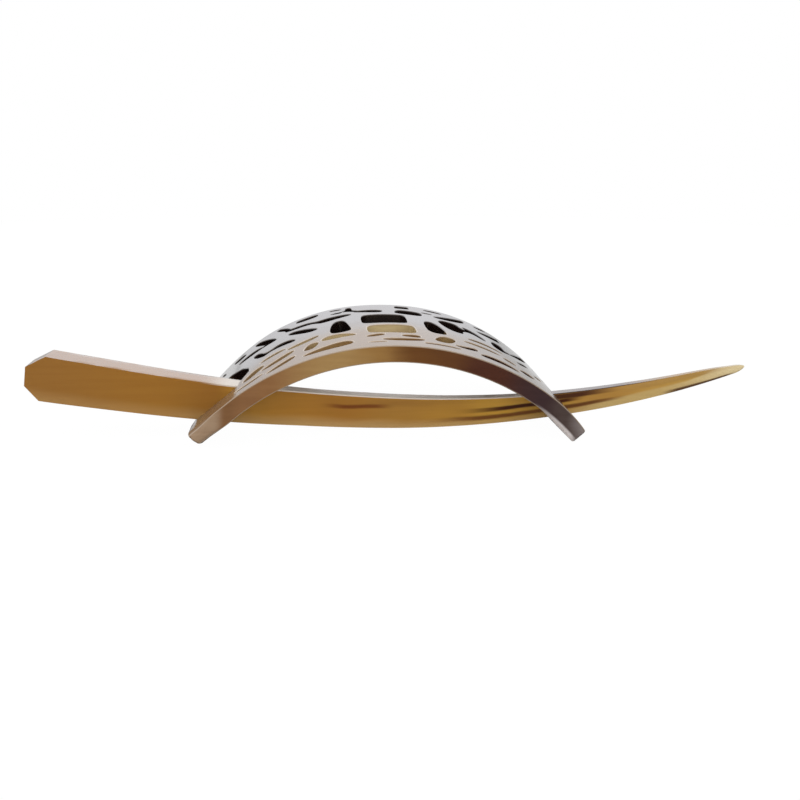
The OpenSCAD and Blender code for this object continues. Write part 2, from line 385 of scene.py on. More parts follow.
# %% The stick's edges and depth, in millimetres
UPPER_EDGE = (8.1, -3.8, 490, 300)
LOWER_EDGE = (0.76, -1.7, 510, 265)
DEPTH_STATIONS = [
    (-90, 7.6), (-60, 7.5), (-46, 6.9), (-40, 6.5), (-22, 3.9), (-10, 3.7), (10, 3.5), (30, 3), (60, 2.6),
    (92, 1.4),
]
UPPER_SWELL = [
    (-86, -0.05), (-78, 0.12), (-70, 0.38), (-60, 0.4), (-50, 0.34), (-40, 0.3), (0, 0.34), (30, 0.25),
    (45, 0.3), (60, 0.35), (76, 0.3), (82, 0.15), (86, -0.15), (90, -0.9),
]
LOWER_SWELL = [
    (-86, -0.5), (-78, -0.34), (-70, -0.1), (-60, 0), (-45, 0), (-30, -0.12), (-15, -0.2), (0, -0.2),
    (20, -0.1), (45, -0.12), (60, -0.24), (75, -0.3), (84, -0.2), (92, -0.05),
]


def edge_height(edge, along):
    """Height of one of the stick's edges at a distance along it from the arch's top."""
    height, slope, left_radius, right_radius = edge
    radius = left_radius if along < 0 else right_radius
    slope = math.radians(slope)
    centre_z = height + math.cos(slope) * radius
    return centre_z - math.sqrt(radius ** 2 - (along + math.sin(slope) * radius) ** 2)


def between(stations, along):
    """Value on the straight line from one station to the next."""
    for (a, low), (b, high) in zip(stations, stations[1:]):
        if along <= b:
            part = max(0, (along - a) / (b - a))
            return low + (high - low) * part
    return stations[-1][1]


def smoothly_between(stations, along):
    """Value between stations, averaged over 8 mm so that it has no kinks."""
    return sum(between(stations, along + shift) for shift in (-4, -2, 0, 2, 4)) / 5


plain_height = edge_height(UPPER_EDGE, 0) - edge_height(LOWER_EDGE, 0)
print("height of the stick at the arch's top, without its swell:", round(plain_height, 2), "mm")

# %% [markdown]
# The point closes over its last millimetres. Its power makes it blunter than a cone and slimmer than a ball,
# and its end lies nearer the upper edge than the lower one.

# %% The stick's section
TIP_ALONG = 90.1
TIP_LENGTH = 2.4
TIP_POWER = 0.62
TIP_LEVEL = 0.58
TIP_LEAST = 0.0025


def section_at(along):
    """Lower edge, upper edge and depth of the stick, with its rounded tip."""
    low, high = edge_height(LOWER_EDGE, along), edge_height(UPPER_EDGE, along)
    low += smoothly_between(LOWER_SWELL, along)
    high += smoothly_between(UPPER_SWELL, along)
    depth = min(smoothly_between(DEPTH_STATIONS, along), between(DEPTH_STATIONS, along))
    past = (along - (TIP_ALONG - TIP_LENGTH)) / TIP_LENGTH
    if past > 0:
        closing = max(TIP_LEAST, 1 - past * past) ** TIP_POWER
        middle = low + (high - low) * TIP_LEVEL
        low, high = middle + (low - middle) * closing, middle + (high - middle) * closing
        depth *= closing
    return low, high, depth


sections = [section_at(along) for along in (-80, 0, 80)]
print("height of the stick at -80, 0, 80 mm:", [round(high - low, 2) for low, high, _ in sections])

# %% [markdown]
# The handle's slanting end and its two cut corners are planes through the bar. Their points are read off the
# side view, so they are first carried into the straight bar, which the planes cut.

# %% A bar with cut corners
BAR_DEPTH, BAR_HEIGHT = 7.6, 11.0
TIP_SHORT_BY = 0.06
BAR_LEFT, BAR_RIGHT = -85.75, TIP_ALONG - TIP_SHORT_BY
HANDLE_OUTLINE = [(-80.75, 20.0), (-85.05, 17.9), (-85.75, 13.3), (-82.95, 9.8)]


def straightened(along, height):
    """A point of the side view in the straight bar."""
    low, high, _ = section_at(along)
    return Vector((along, 0, ((height - low) / (high - low) - 0.5) * BAR_HEIGHT))


bar = bmesh.new()
bmesh.ops.create_cube(bar, size=1)
bmesh.ops.scale(bar, vec=(BAR_RIGHT - BAR_LEFT, BAR_DEPTH, BAR_HEIGHT), verts=bar.verts)
bmesh.ops.translate(bar, vec=((BAR_LEFT + BAR_RIGHT) / 2, 0, 0), verts=bar.verts)
corners = [straightened(*point) for point in HANDLE_OUTLINE]
for first, second in zip(corners, corners[1:]):
    across = (second - first).cross(Vector((0, 1, 0)))
    cut = bmesh.ops.bisect_plane(
        bar,
        geom=bar.verts[:] + bar.edges[:] + bar.faces[:],
        plane_co=first,
        plane_no=across if across.x < 0 else -across,
        clear_outer=True,
    )
    cut_edges = [g for g in cut["geom_cut"] if isinstance(g, bmesh.types.BMEdge)]
    if cut_edges:
        bmesh.ops.edgenet_fill(bar, edges=cut_edges)
bmesh.ops.recalc_face_normals(bar, faces=bar.faces)
print("faces of the bar with its cut corners:", len(bar.faces))

# %% [markdown]
# A bevel with a round profile finishes the long edges and the handle's facets in one step, while the bar
# still has few faces.

# %% Bevel the bar's edges
EDGE_ROUND = 0.32
SHARP_EDGE = math.radians(12)

sharp = [e for e in bar.edges if e.calc_face_angle(0) > SHARP_EDGE]
bmesh.ops.bevel(
    bar,
    geom=sharp,
    offset=EDGE_ROUND,
    segments=4,
    profile=0.5,
    affect="EDGES",
    material=-1,
    clamp_overlap=True,
)
print("faces of the bar:", len(bar.faces), "closed:", all(len(e.link_faces) == 2 for e in bar.edges))

# %% [markdown]
# Rings every two millimetres let the bar bend, and closer ones at the point let it close in a smooth curve.
# Rows along the sides let them swell.

# %% Cut the bar into rings and rows
RING_STEP = 2.0
FIRST_RING = 4.9
RINGS_SHORT_BY = 6
TIP_RINGS = (1.6, 1.2, 0.9, 0.6, 0.4, 0.25, 0.15, 0.09)
BAR_CUT_DIST = 0.002

for level in (-0.75, -0.5, -0.25, 0, 0.25, 0.5, 0.75):
    cut_across(bar, (0, 0, level * BAR_HEIGHT / 2), (0, 0, 1), BAR_CUT_DIST)
for side in (-0.5, 0, 0.5):
    cut_across(bar, (0, side * BAR_DEPTH / 2, 0), (0, 1, 0), BAR_CUT_DIST)
ring_count = int((BAR_RIGHT - BAR_LEFT - RINGS_SHORT_BY) / RING_STEP)
rings = [BAR_LEFT + FIRST_RING + RING_STEP * ring for ring in range(ring_count)]
rings += [TIP_ALONG - TIP_LENGTH * part for part in TIP_RINGS]
for along in rings:
    cut_across(bar, (along, 0, 0), (1, 0, 0), BAR_CUT_DIST)
print("rings:", len(rings), "faces of the ringed bar:", len(bar.faces))

# %% [markdown]
# A point's side and level in the straight bar run from -1 to 1, so its place on the stick is found by a
# scale. Each point keeps its place in the straight bar as an attribute, so that the material can draw streaks
# that follow the horn. Towards the point the front and back swell like a lens.

# %% Move the rings to their places
LENS = [(-30, 0.0), (20, 0.04), (44, 0.1), (70, 0.25), (92, 0.5)]
LENS_POWER = 2.6

place_layer = bar.verts.layers.float_vector.new("place")
for vert in bar.verts:
    along, side, level = vert.co.x, vert.co.y / (BAR_DEPTH / 2), vert.co.z / (BAR_HEIGHT / 2)
    low, high, depth = section_at(along)
    vert[place_layer] = (along, side, (level + 1) / 2)
    lens = 1 - between(LENS, along) * abs(level) ** LENS_POWER
    vert.co = (
        along + ARCH_X,
        STICK_Y + side * depth / 2 * lens,
        low + (high - low) * (level + 1) / 2,
    )
bmesh.ops.recalc_face_normals(bar, faces=bar.faces)
print("stick closed:", all(len(e.link_faces) == 2 for e in bar.edges))
print("volume of the stick in mm3:", round(bar.calc_volume(signed=True)))

stick = finished_object("hair_stick_horn", bar, "stick")
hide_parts("hair_stick")

# %% [markdown]
# ## Room for the stick
#
# The stick slants through the plate, so its two slots are wider inside than their straight walls. A grown
# copy of the finished stick is taken out of the plate with a Boolean modifier, and deleted afterwards.

# %% A grown copy of the stick
PLAY = 0.2

cutter_mesh = stick.data.copy()
grown = bmesh.new()
grown.from_mesh(cutter_mesh)
moves = [(vert, vert.normal * vert.calc_shell_factor() * PLAY * MM) for vert in grown.verts]
for vert, move in moves:
    vert.co += move
grown.to_mesh(cutter_mesh)
grown.free()
cutter = bpy.data.objects.new("stick_room", cutter_mesh)
bpy.context.scene.collection.objects.link(cutter)
print("play round the stick:", PLAY, "mm, points moved:", len(moves))

# %% [markdown]
# The Boolean leaves split normals of its own, which are removed, so that both pieces are shaded by their own
# faces. Faces that meet at less than 40 degrees are shaded as one smooth surface.

# %% Cut the slanting path of the stick
SMOOTH_ANGLE = math.radians(40)


def apply_modifiers(piece):
    """Replaces a piece's mesh with the one that its modifiers make."""
    shown = piece.evaluated_get(bpy.context.evaluated_depsgraph_get())
    mesh = bpy.data.meshes.new_from_object(shown)
    piece.modifiers.clear()
    piece.data = mesh


room = plate.modifiers.new("stick room", "BOOLEAN")
room.operation = "DIFFERENCE"
room.solver = "EXACT"
room.object = cutter
apply_modifiers(plate)
plate.data.attributes.remove(plate.data.attributes["custom_normal"])
bpy.data.objects.remove(cutter)
for piece in (plate, stick):
    piece.data.shade_smooth()
    piece.data.set_sharp_from_angle(angle=SMOOTH_ANGLE)
    names = [attribute.name for attribute in piece.data.attributes]
    print(piece.name, len(piece.data.polygons), "faces, attributes:", names)

# %% [markdown]
# ## Materials
#
# Horn is built of thin fibres, so its colour runs in long streaks and clouds, from honey to near black. It is
# a little translucent and takes a high polish. Short helpers make the node trees easy to read.

# %% Helpers for node trees


def place_node(tree, kind, inputs=None, **settings):
    """Adds a shader node, sets its options, and fills its inputs with values or other nodes' outputs."""
    node = tree.nodes.new("ShaderNode" + kind)
    for name, value in settings.items():
        setattr(node, name, value)
    for name, value in (inputs or {}).items():
        if isinstance(value, bpy.types.NodeSocket):
            tree.links.new(value, node.inputs[name])
        else:
            node.inputs[name].default_value = value
    return node


def calculate(tree, operation, *values):
    """A Math node's output."""
    return place_node(tree, "Math", dict(enumerate(values)), operation=operation).outputs[0]


def ease(tree, value, low, high, to_low=0.0, to_high=1.0):
    """A smooth step of a value from low to high."""
    inputs = {"Value": value, "From Min": low, "From Max": high, "To Min": to_low, "To Max": to_high}
    return place_node(tree, "MapRange", inputs, interpolation_type="SMOOTHSTEP").outputs[0]


def new_group(name, inputs, outputs):
    """A shader node group with float inputs (name: default) and outputs (name: socket type)."""
    group = bpy.data.node_groups.new(name, "ShaderNodeTree")
    for socket, value in inputs.items():
        kind = "NodeSocketVector" if value is None else "NodeSocketFloat"
        made = group.interface.new_socket(socket, in_out="INPUT", socket_type=kind)
        if value is not None:
            made.default_value = value
    for socket, kind in outputs.items():
        group.interface.new_socket(socket, in_out="OUTPUT", socket_type="NodeSocket" + kind)
    return group, group.nodes.new("NodeGroupInput").outputs, group.nodes.new("NodeGroupOutput").inputs


print("helpers:", [helper.__name__ for helper in (place_node, calculate, ease, new_group)])

# %% [markdown]
# ### Fibres and polish
#
# One group serves both horns. Noise that is stretched along X gives the fibres, a broad noise gives clouds,
# and very fine scratches from polishing change the roughness and make a faint bump.

# %% The group for fibres and polish
horn_group, given, result = new_group(
    "horn fibres",
    {"Vector": None, "Scale": 1.0, "Stretch": 0.08, "Roughness": 0.25, "Haze": 0.08},
    {"Fibre": "Float", "Cloud": "Float", "Roughness": "Float", "Height": "Float"},
)
stretch = place_node(horn_group, "CombineXYZ", {0: given["Stretch"], 1: 1.0, 2: 1.0}).outputs[0]
inputs = {0: given["Vector"], 1: stretch}
along_fibres = place_node(horn_group, "VectorMath", inputs, operation="MULTIPLY").outputs[0]
inputs = {0: along_fibres, "Scale": given["Scale"]}
scaled = place_node(horn_group, "VectorMath", inputs, operation="SCALE").outputs[0]
inputs = {"Vector": scaled, "Scale": 900.0, "Detail": 4.0, "Roughness": 0.6}
fibre = place_node(horn_group, "TexNoise", inputs).outputs[0]
inputs = {"Vector": given["Vector"], "Scale": 60.0, "Detail": 2.0}
cloud = place_node(horn_group, "TexNoise", inputs).outputs[0]
inputs = {"Vector": given["Vector"], "Scale": 2600.0, "Detail": 2.0}
scratch = place_node(horn_group, "TexNoise", inputs).outputs[0]
haze = calculate(horn_group, "MULTIPLY_ADD", scratch, given["Haze"], given["Roughness"])
horn_group.links.new(ease(horn_group, fibre, 0.3, 0.7), result["Fibre"])
horn_group.links.new(ease(horn_group, cloud, 0.3, 0.7), result["Cloud"])
horn_group.links.new(haze, result["Roughness"])
horn_group.links.new(scratch, result["Height"])
print("group:", horn_group.name, [s.name for s in horn_group.interface.items_tree])

# %% [markdown]
# ### One streak
#
# A dark streak of horn is a thin line that fades at both ends. The group takes a place along the horn and a
# height across it, and gives a mask, so a material can lay several streaks with their own values.

# %% The group for a streak
STREAK_INPUTS = {
    "Along": 0.0, "Height": 0.0, "Start": -10.0, "End": 10.0, "Fade In": 5.0, "Fade Out": 5.0,
    "Centre": 0.5, "Slope": 0.0, "Bow": 0.0, "Half Width": 0.05, "Softness": 0.05,
}

streak_group, given, result = new_group("horn streak", STREAK_INPUTS, {"Mask": "Float"})
from_start = calculate(streak_group, "SUBTRACT", given["Along"], given["Start"])
to_end = calculate(streak_group, "SUBTRACT", given["End"], given["Along"])
rise = calculate(streak_group, "MULTIPLY_ADD", from_start, given["Slope"], given["Centre"])
squared = calculate(streak_group, "MULTIPLY", from_start, from_start)
line = calculate(streak_group, "MULTIPLY_ADD", squared, given["Bow"], rise)
off_line = calculate(streak_group, "ABSOLUTE", calculate(streak_group, "SUBTRACT", given["Height"], line))
outer_edge = calculate(streak_group, "ADD", given["Half Width"], given["Softness"])
body = ease(streak_group, off_line, given["Half Width"], outer_edge, 1.0, 0.0)
head = ease(streak_group, from_start, 0.0, given["Fade In"])
tail = ease(streak_group, to_end, 0.0, given["Fade Out"])
mask = calculate(streak_group, "MULTIPLY", body, calculate(streak_group, "MULTIPLY", head, tail))
streak_group.links.new(mask, result["Mask"])
print("group:", streak_group.name, [s.name for s in streak_group.interface.items_tree])

# %% [markdown]
# ### Horn of the plate
#
# The front left of the plate is honey brown, and it darkens to near black at the right and at the back. Each
# cell below adds one part of that colour to the node tree, and hands its last output on to the next cell. The
# helpers that only the two horn materials need come first.

# %% Helpers for the horn materials


def mix_colours(tree, factor, first, second, blend="MIX"):
    """A Mix node for colours. Colours are (red, green, blue) or another node's output."""
    node = place_node(tree, "Mix", data_type="RGBA", blend_type=blend)
    for socket, value in ((node.inputs[0], factor), (node.inputs[6], first), (node.inputs[7], second)):
        if isinstance(value, bpy.types.NodeSocket):
            tree.links.new(value, socket)
        elif isinstance(value, tuple):
            socket.default_value = (*value, 1)
        else:
            socket.default_value = value
    return node.outputs[2]


def use_group(tree, group, inputs):
    """Places a group in a tree and returns its outputs."""
    return place_node(tree, "Group", inputs, node_tree=group).outputs


def new_material(name):
    """A material and its node tree, which has a Principled BSDF to start with."""
    material = bpy.data.materials.new(name)
    material.use_nodes = True
    return material, material.node_tree


def colour_ramp(tree, factor, stops):
    """A colour ramp with (position, colour) stops."""
    ramp = place_node(tree, "ValToRGB", {0: factor})
    elements = ramp.color_ramp.elements
    elements[0].position, elements[0].color = stops[0][0], (*stops[0][1], 1)
    elements[1].position, elements[1].color = stops[-1][0], (*stops[-1][1], 1)
    for position, colour in stops[1:-1]:
        elements.new(position).color = (*colour, 1)
    ramp.color_ramp.interpolation = "EASE"
    return ramp.outputs[0]


print("helpers:", [helper.__name__ for helper in (mix_colours, use_group, new_material, colour_ramp)])

# %% [markdown]
# The edge that faces the front shows the horn's own colour best. A ramp along the plate gives it: pale at the
# left end, brown over the left flank, honey at a third of the way, near black on the right flank, and grey at
# the right end. The pale left end and the grey right end are painted reflection of the white studio at the
# plate's two ends, laid over the horn's tone. Clouds of the horn shift the ramp a little, so that no border
# between two tones is straight.

# %% The tones along the plate
PLATE_LEFT, PLATE_RIGHT = -0.046, 0.049
CLOUD_SHIFT = 0.005

plate_material, tree = new_material("dark polished horn")
coordinates = place_node(tree, "TexCoord").outputs["Object"]
axes = place_node(tree, "SeparateXYZ", {0: coordinates}).outputs
horn = use_group(tree, horn_group, {"Vector": coordinates, "Roughness": 0.16, "Haze": 0.06})
drift = calculate(tree, "SUBTRACT", horn["Cloud"], 0.5)
wander = calculate(tree, "MULTIPLY_ADD", drift, CLOUD_SHIFT, axes["X"])
inputs = {"Value": wander, "From Min": PLATE_LEFT, "From Max": PLATE_RIGHT}
along = place_node(tree, "MapRange", inputs).outputs[0]
# The pale first stop and the grey last stop are painted reflection at the plate's two ends.
front_tone_and_end_reflection = colour_ramp(tree, along, [
    (0.0, (0.40, 0.27, 0.17)),
    (0.03, (0.24, 0.115, 0.045)),
    (0.1, (0.29, 0.14, 0.056)),
    (0.17, (0.31, 0.15, 0.056)),
    (0.34, (0.44, 0.27, 0.10)),
    (0.43, (0.35, 0.185, 0.052)),
    (0.54, (0.17, 0.066, 0.015)),
    (0.7, (0.088, 0.027, 0.014)),
    (0.84, (0.056, 0.029, 0.03)),
    (0.9, (0.088, 0.06, 0.053)),
    (0.97, (0.28, 0.24, 0.23)),
])
print("nodes after the tones along the plate:", len(tree.nodes))

# %% [markdown]
# The walls of the cells were cut by a saw. Those near the front border are brown, and those of the middle
# rows are yellower and paler, most of all at the top of the arch. That paler yellow is painted light from
# above, laid over the horn's brown.

# %% The walls of the cells
front_walls = colour_ramp(tree, along, [
    (0.0, (0.36, 0.24, 0.12)),
    (0.45, (0.34, 0.20, 0.08)),
    (0.56, (0.26, 0.13, 0.05)),
    (0.66, (0.05, 0.02, 0.012)),
])
# Painted light from above: the middle walls are paler, most of all at the top of the arch.
middle_walls_painted_light = colour_ramp(tree, along, [
    (0.0, (0.40, 0.28, 0.14)),
    (0.43, (0.66, 0.52, 0.28)),
    (0.62, (0.40, 0.27, 0.12)),
    (0.85, (0.25, 0.19, 0.13)),
])
walls = mix_colours(tree, ease(tree, axes["Y"], -0.014, -0.009), front_walls, middle_walls_painted_light)
honey = mix_colours(tree, ease(tree, axes["Y"], -0.0272, -0.0262), front_tone_and_end_reflection, walls)
print("nodes after the walls:", len(tree.nodes))

# %% [markdown]
# Behind the middle row the horn turns near black, as it does towards the tip of a real horn. The border of
# the dark part comes further forward at the left end, and clouds make it uneven.

# %% The dark back
NEAR_BLACK = (0.012, 0.006, 0.005)
LEFT_CORNER_FROM = -0.033

left_corner = calculate(tree, "MAXIMUM", calculate(tree, "SUBTRACT", LEFT_CORNER_FROM, axes["X"]), 0.0)
backward = calculate(tree, "MULTIPLY_ADD", left_corner, 1.2, axes["Y"])
cloudy_back = calculate(tree, "MULTIPLY_ADD", drift, 0.004, backward)
darkness = ease(tree, cloudy_back, -0.004, 0.0)
deep = mix_colours(tree, darkness, honey, NEAR_BLACK)
print("nodes after the dark back:", len(tree.nodes))

# %% [markdown]
# The skin on top mirrors the pale studio, so its own colour has to be darker than it looks. Towards the front
# it is warm and rubbed nearly matt, and towards the back it is dark and glossy. The value `warm_skin` says
# how far a place is on this way, and the plate's polish uses it again. The `wall` attribute tells skin from
# walls.

# %% The skin
DARK_SKIN = (0.09, 0.075, 0.07)
WARM_LEFT, WARM_RIGHT = (0.33, 0.21, 0.12), (0.44, 0.31, 0.20)

wall = place_node(tree, "Attribute", attribute_name="wall").outputs["Fac"]
to_front = ease(tree, cloudy_back, -0.014, 0.008, 1.0, 0.0)
warm_skin = calculate(tree, "MULTIPLY", to_front, ease(tree, along, 0.35, 0.9, 0.85, 0.4))
dark_tone = mix_colours(tree, 0.85, deep, DARK_SKIN)
warm_tone = mix_colours(tree, ease(tree, along, 0.08, 0.4), WARM_LEFT, WARM_RIGHT)
skin_tone = mix_colours(tree, warm_skin, dark_tone, warm_tone)
skin_or_wall = mix_colours(tree, wall, skin_tone, deep)
print("nodes after the skin:", len(tree.nodes))

# %% [markdown]
# The toes are painted pale, as a painted reflection of the white floor: on the outer side of the left toe and
# on the inner side of the right one. A slanting plane finds the first. The second is found by its distance
# from the axis of the arch, which is less than that of the rest of the plate.

# %% The painted reflection on the toes
LEFT_TOE_PAINTED_REFLECTION = (0.66, 0.57, 0.54)
RIGHT_TOE_PAINTED_REFLECTION = (0.8, 0.74, 0.73)

slanting = calculate(tree, "MULTIPLY_ADD", axes["Z"], 0.87, axes["X"])
left_end = ease(tree, axes["X"], -0.044, -0.047, 0.0, 0.8)
# Painted reflection of the white floor on the outer side of the left toe.
left_toe_reflection_mask = calculate(tree, "MULTIPLY", ease(tree, slanting, -0.0465, -0.05), left_end)
left_toe = mix_colours(tree, left_toe_reflection_mask, skin_or_wall, LEFT_TOE_PAINTED_REFLECTION)
across = calculate(tree, "SUBTRACT", axes["X"], ARCH_X * MM)
upward = calculate(tree, "SUBTRACT", axes["Z"], AXIS_Z * MM)
squares = calculate(tree, "MULTIPLY_ADD", upward, upward, calculate(tree, "MULTIPLY", across, across))
inner_side = ease(tree, calculate(tree, "SQRT", squares), 0.0588, 0.0582)
right_end = ease(tree, axes["X"], 0.031, 0.037, 0.0, 0.9)
# Painted reflection of the white floor on the inner side of the right toe.
right_toe_reflection_mask = calculate(tree, "MULTIPLY", inner_side, right_end)
right_toe_reflection_mask = calculate(tree, "MULTIPLY", right_toe_reflection_mask, ease(tree, axes["X"], 0.042, 0.04, 0.2, 1.0))
toes_with_painted_reflection = mix_colours(tree, right_toe_reflection_mask, left_toe, RIGHT_TOE_PAINTED_REFLECTION)
print("nodes after the pale toes:", len(tree.nodes))

# %% [markdown]
# Fine fibres run through all of it. The rims of the cells get a painted cream highlight, where their rounded
# edges would catch the light. It is dimmer towards the right, at the back and along the front border. The
# `rim` attribute marks them.

# %% The fibres and the painted highlight on the rims
PLATE_FIBRES = (0.6, 0.5, 0.4)
RIM_PAINTED_HIGHLIGHT = (0.70, 0.57, 0.44)

fibre_part = calculate(tree, "MULTIPLY", horn["Fibre"], 0.25)
fibred = mix_colours(tree, fibre_part, toes_with_painted_reflection, PLATE_FIBRES, "MULTIPLY")
to_right = ease(tree, along, 0.4, 0.8, 1.0, 0.4)
to_back = ease(tree, darkness, 0.0, 1.0, 1.0, 0.1)
from_border = ease(tree, axes["Y"], -0.0274, -0.0262, 0.35, 1.0)
rim_highlight_strength = calculate(tree, "MULTIPLY", calculate(tree, "MULTIPLY", to_right, to_back), from_border)
rim = place_node(tree, "Attribute", attribute_name="rim").outputs["Fac"]
# Painted highlight: the rims are mixed towards cream.
rim_painted_highlight = mix_colours(tree, calculate(tree, "MULTIPLY", rim, rim_highlight_strength), fibred, RIM_PAINTED_HIGHLIGHT)
print("nodes after the rims:", len(tree.nodes))

# %% [markdown]
# Polished horn has a clear gloss over a softer shine. The Principled shader's coat is that gloss, and its
# roughness below is the shine. A very faint bump from the scratches keeps the mirror from being perfect. The
# coat is left off where the surface is matt.

# %% The plate's polish
SCRATCH_DEPTH = 0.00005
COAT_ROUGHNESS = 0.06


def polish(piece, material, colour, horn, scratches, matt, coat_loss):
    """Links a horn's colour, scratches and clear coat to its shader, and puts the material on a piece."""
    tree = material.node_tree
    surface = tree.nodes["Principled BSDF"].inputs
    inputs = {"Height": horn["Height"], "Strength": scratches, "Distance": SCRATCH_DEPTH}
    tree.links.new(colour, surface["Base Color"])
    tree.links.new(horn["Roughness"], surface["Roughness"])
    tree.links.new(place_node(tree, "Bump", inputs).outputs[0], surface["Normal"])
    tree.links.new(calculate(tree, "MULTIPLY_ADD", matt, -coat_loss, 1.0), surface["Coat Weight"])
    surface["Coat Roughness"].default_value = COAT_ROUGHNESS
    piece.data.materials.clear()
    piece.data.materials.append(material)
    print("material:", material.name, len(tree.nodes), "nodes")


matt_skin = calculate(tree, "MULTIPLY", warm_skin, calculate(tree, "SUBTRACT", 1.0, wall))
polish(plate, plate_material, rim_painted_highlight, horn, 0.06, matt_skin, 0.95)

# %% [markdown]
# ### Horn of the stick
#
# The stick is golden brown. Its colours are laid by the place that each point had in the straight bar, so
# they follow the horn. A ramp along it is deepest at the handle, brightest where the stick leaves the plate,
# and pale at the very point. Its bright stops near -36 mm and 28 mm are partly painted light, which lifts the
# shade that the plate casts on the stick there.

# %% The tones along the stick
STICK_LEFT, STICK_RIGHT = -86.0, 90.0

stick_material, tree = new_material("golden polished horn")
coordinates = place_node(tree, "TexCoord").outputs["Object"]
inputs = {"Vector": coordinates, "Roughness": 0.2, "Haze": 0.06, "Stretch": 0.05}
horn = use_group(tree, horn_group, inputs)
place = place_node(tree, "Attribute", attribute_name="place").outputs["Vector"]
along, _, level = place_node(tree, "SeparateXYZ", {0: place}).outputs
wavy = calculate(tree, "MULTIPLY_ADD", calculate(tree, "SUBTRACT", horn["Cloud"], 0.5), 0.05, level)
inputs = {"Value": along, "From Min": STICK_LEFT, "From Max": STICK_RIGHT}
length = place_node(tree, "MapRange", inputs).outputs[0]
golden = colour_ramp(tree, length, [
    (0.0, (0.35, 0.155, 0.027)),
    (0.2, (0.39, 0.17, 0.02)),
    (0.25, (0.40, 0.17, 0.021)),
    # Painted light: this stop and the one at 0.65 lift the plate's shade on the stick.
    (0.285, (0.60, 0.29, 0.034)),
    (0.36, (0.55, 0.25, 0.03)),
    (0.42, (0.48, 0.21, 0.028)),
    (0.5, (0.50, 0.245, 0.04)),
    (0.58, (0.56, 0.28, 0.038)),
    (0.65, (0.74, 0.40, 0.05)),
    (0.8, (0.5, 0.26, 0.05)),
    (0.87, (0.56, 0.32, 0.07)),
    (0.93, (0.54, 0.32, 0.07)),
    (1.0, (0.8, 0.75, 0.56)),
])
print("nodes after the tones along the stick:", len(tree.nodes))

# %% [markdown]
# The lower side is paler all along, partly the horn's tone and partly a painted reflection of the white floor
# below. Past the arch a pale line climbs the side, and at the point the whole side lies under it.

# %% The pale lower side with its painted reflection, and the point
UNDERSIDE_TONE_AND_REFLECTION = (0.68, 0.46, 0.2)
PALE_SIDE, PALE_POINT = (0.62, 0.44, 0.17), (0.78, 0.62, 0.33)

low_strength = ease(tree, along, -60.0, -20.0, 0.25, 0.65)
underside_tone_and_reflection_part = calculate(tree, "MULTIPLY", ease(tree, wavy, 0.36, 0.02), low_strength)
# Partly painted reflection of the floor: the lower side is mixed towards pale.
pale_low_and_reflection = mix_colours(tree, underside_tone_and_reflection_part, golden, UNDERSIDE_TONE_AND_REFLECTION)
pale_line = calculate(tree, "MULTIPLY_ADD", calculate(tree, "SUBTRACT", along, 45.0), 0.0072, 0.34)
pale_line = calculate(tree, "ADD", pale_line, ease(tree, along, 74.0, 92.0, 0.0, 0.7))
under_line = ease(tree, calculate(tree, "SUBTRACT", pale_line, wavy), -0.06, 0.1)
side_part = calculate(tree, "MULTIPLY", under_line, ease(tree, along, 40.0, 56.0, 0.0, 0.85))
side_tone = mix_colours(tree, ease(tree, along, 66.0, 86.0), PALE_SIDE, PALE_POINT)
tinted = mix_colours(tree, side_part, pale_low_and_reflection, side_tone)
print("nodes after the pale sides:", len(tree.nodes))

# %% [markdown]
# Dark streaks run with the horn: thin ones under the arch, bold ones where the stick leaves the plate at the
# right, and soft brown ones near the point. Each row has a streak's inputs, its strength and its colour.

# %% The streaks of the stick
STREAKS = [
    ({"Start": -17.5, "End": 2.0, "Fade In": 7.0, "Fade Out": 6.0, "Centre": 0.62, "Slope": 0.004,
      "Half Width": 0.02, "Softness": 0.08}, 0.85, (0.2, 0.045, 0.005)),
    ({"Start": -9.0, "End": 24.0, "Fade In": 8.0, "Fade Out": 16.0, "Centre": 0.66, "Slope": 0.016,
      "Bow": -0.0003, "Half Width": 0.03, "Softness": 0.14}, 0.25, (0.26, 0.1, 0.02)),
    ({"Start": 15.5, "End": 50.0, "Fade In": 14.0, "Fade Out": 6.0, "Centre": 0.52, "Slope": 0.0054,
      "Half Width": 0.04, "Softness": 0.08}, 0.96, (0.07, 0.01, 0.001)),
    ({"Start": 8.0, "End": 60.0, "Fade In": 16.0, "Fade Out": 10.0, "Centre": 0.21, "Slope": 0.004,
      "Half Width": 0.03, "Softness": 0.1}, 0.85, (0.16, 0.04, 0.008)),
    ({"Start": 36.0, "End": 60.0, "Fade In": 4.0, "Fade Out": 12.0, "Centre": 0.87, "Slope": 0.0,
      "Half Width": 0.07, "Softness": 0.09}, 0.95, (0.075, 0.018, 0.006)),
    ({"Start": 40.0, "End": 62.0, "Fade In": 5.0, "Fade Out": 14.0, "Centre": 0.4, "Slope": 0.0,
      "Half Width": 0.02, "Softness": 0.1}, 0.85, (0.16, 0.06, 0.012)),
    ({"Start": 54.0, "End": 89.0, "Fade In": 12.0, "Fade Out": 8.0, "Centre": 0.82, "Slope": 0.004,
      "Half Width": 0.13, "Softness": 0.2}, 0.4, (0.34, 0.18, 0.045)),
    ({"Start": 68.0, "End": 88.0, "Fade In": 5.0, "Fade Out": 3.0, "Centre": 0.0, "Slope": 0.0,
      "Half Width": 0.14, "Softness": 0.14}, 0.95, (0.10, 0.04, 0.015)),
]

streaked = tinted
for values, strength, colour in STREAKS:
    mask = use_group(tree, streak_group, {"Along": along, "Height": wavy, **values})["Mask"]
    streaked = mix_colours(tree, calculate(tree, "MULTIPLY", mask, strength), streaked, colour)
print("streaks:", len(STREAKS), "nodes:", len(tree.nodes))

# %% [markdown]
# The narrow top of the stick faces the sky. Under the arch it is matt and carries a pale painted highlight,
# and past the arch it is dark and glossy. The fibres lie over everything.

